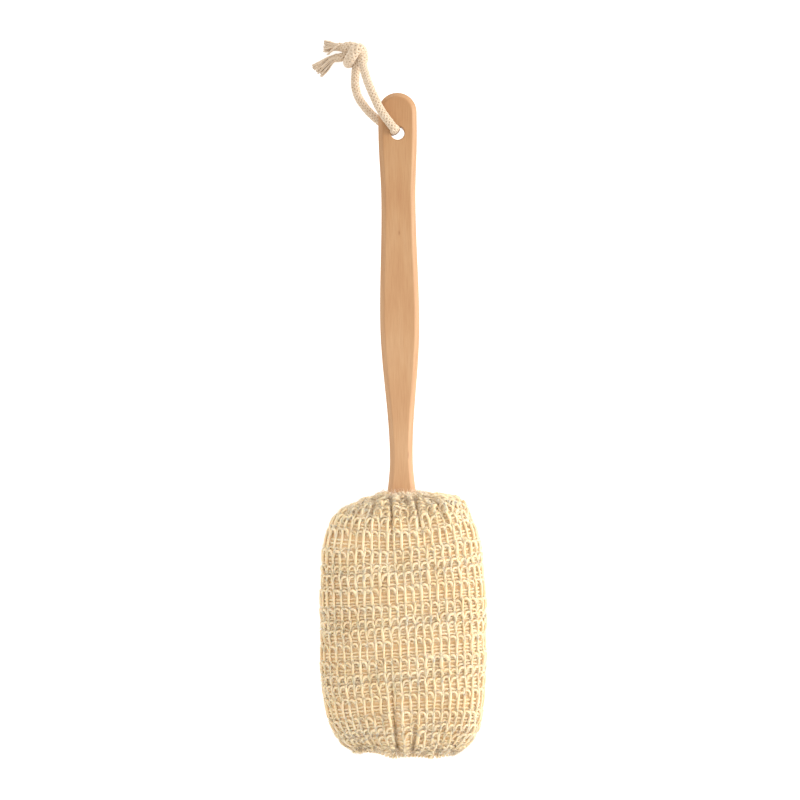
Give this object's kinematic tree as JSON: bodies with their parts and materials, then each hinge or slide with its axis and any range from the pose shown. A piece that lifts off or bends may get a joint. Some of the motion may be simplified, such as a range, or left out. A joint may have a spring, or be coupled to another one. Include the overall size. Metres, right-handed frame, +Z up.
{
  "type": "body dry brush",
  "caption": "Long flat wooden handle with a padded, oblong head in a gathered knitted sisal sleeve, and a knotted hanging cord through a hole at the handle's end.",
  "frame": {"origin": "on the ground, under the middle of the brush's length and width, measured without its cord", "axes": "+Y runs from the head to the handle's hanging hole, +Z is up out of the brushing face, +X is across the handle"},
  "size_m": [0.1043, 0.4546, 0.0445],
  "materials": {
    "handle_wood": "fine sanded, lightly sealed",
    "paddle_plywood": "unfinished",
    "screw_steel": "zinc plated",
    "foam": "open cell",
    "lining_cotton": "plain weave",
    "sisal_knit": "coarse knit",
    "elastic": "covered",
    "cord_cotton": "braided"
  },
  "bodies": {
    "brush": {"handle": "handle_wood", "paddle_board": "paddle_plywood", "paddle_screw_1": "screw_steel", "paddle_screw_2": "screw_steel", "paddle_screw_3": "screw_steel", "front_foam": "foam", "back_foam": "foam", "cotton_lining": "lining_cotton", "sisal_sleeve": "sisal_knit", "neck_elastic": "elastic", "base_closing_thread": "sisal_knit"},
    "hanging_loop": {"cord_front_run": "cord_cotton", "cord_back_run": "cord_cotton", "cord_knot": "cord_cotton", "cord_front_tail": "cord_cotton", "cord_back_tail": "cord_cotton"}
  },
  "joints": [
    {"name": "hanging_loop_swing", "type": "hinge", "parent": "brush", "child": "hanging_loop", "pos_m": [0, 0.1844, 0.0215], "axis": [0, 0, 1], "range_deg": [-165, 110]}
  ]
}
